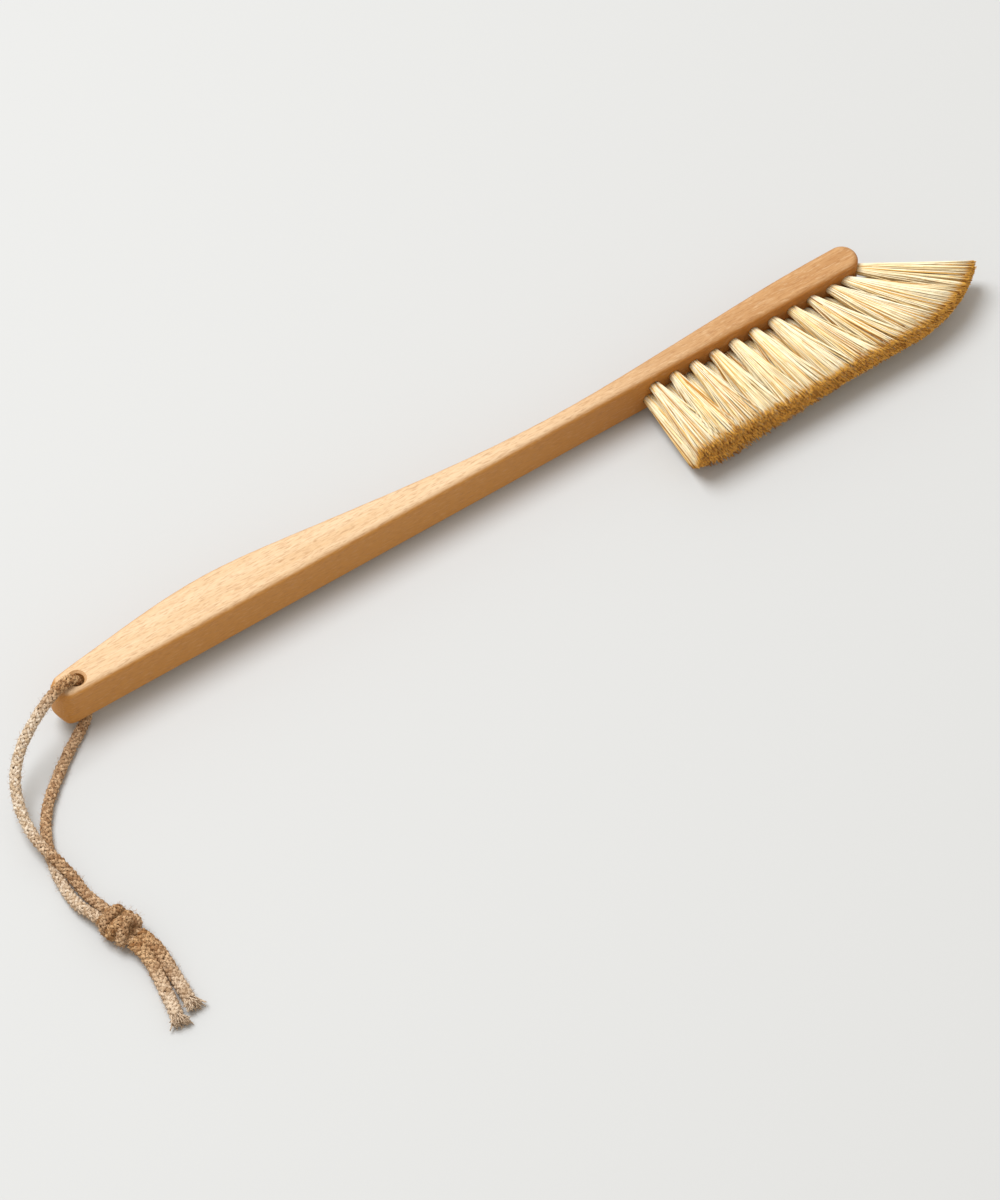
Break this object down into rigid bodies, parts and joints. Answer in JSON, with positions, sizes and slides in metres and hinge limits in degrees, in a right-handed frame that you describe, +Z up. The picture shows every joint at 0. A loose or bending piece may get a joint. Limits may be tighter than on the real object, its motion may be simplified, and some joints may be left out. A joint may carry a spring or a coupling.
{
  "type": "body dry brush",
  "caption": "Long-handled dry brush: a slim one-piece wooden stock with rows of stiff plant-fibre tufts along one edge of the head and a knotted hanging cord through the butt.",
  "frame": {"origin": "middle of the bottom of the brush's bounding box without its cord, on the table it lies on", "axes": "+X along the handle from the butt to the toe, -Y the way the bristles point, +Z up; the brush lies on its flat side with the butt 0.7 degrees higher, resting on its cord"},
  "size_m": [0.4859, 0.1589, 0.0319],
  "materials": {
    "beech_stock": "smooth oiled beech",
    "plant_bristle": "stiff straw-coloured plant fibre, cut ends",
    "anchor_brass": "plain flat strip",
    "jute_cord": "braided jute, hairy"
  },
  "bodies": {
    "root": {"stock": "beech_stock", "tuft_upper_01": "plant_bristle", "tuft_upper_02": "plant_bristle", "tuft_upper_03": "plant_bristle", "tuft_upper_04": "plant_bristle", "tuft_upper_05": "plant_bristle", "tuft_upper_06": "plant_bristle", "tuft_upper_07": "plant_bristle", "tuft_upper_08": "plant_bristle", "tuft_upper_09": "plant_bristle", "tuft_upper_10": "plant_bristle", "tuft_upper_11": "plant_bristle", "tuft_upper_12": "plant_bristle", "tuft_lower_01": "plant_bristle", "tuft_lower_02": "plant_bristle", "tuft_lower_03": "plant_bristle", "tuft_lower_04": "plant_bristle", "tuft_lower_05": "plant_bristle", "tuft_lower_06": "plant_bristle", "tuft_lower_07": "plant_bristle", "tuft_lower_08": "plant_bristle", "tuft_lower_09": "plant_bristle", "tuft_lower_10": "plant_bristle", "tuft_lower_11": "plant_bristle", "tuft_lower_12": "plant_bristle", "tuft_anchors": "anchor_brass", "cord_upper_leg": "jute_cord", "cord_lower_leg": "jute_cord", "cord_knot": "jute_cord", "cord_right_tail": "jute_cord", "cord_left_tail": "jute_cord"}
  },
  "joints": []
}
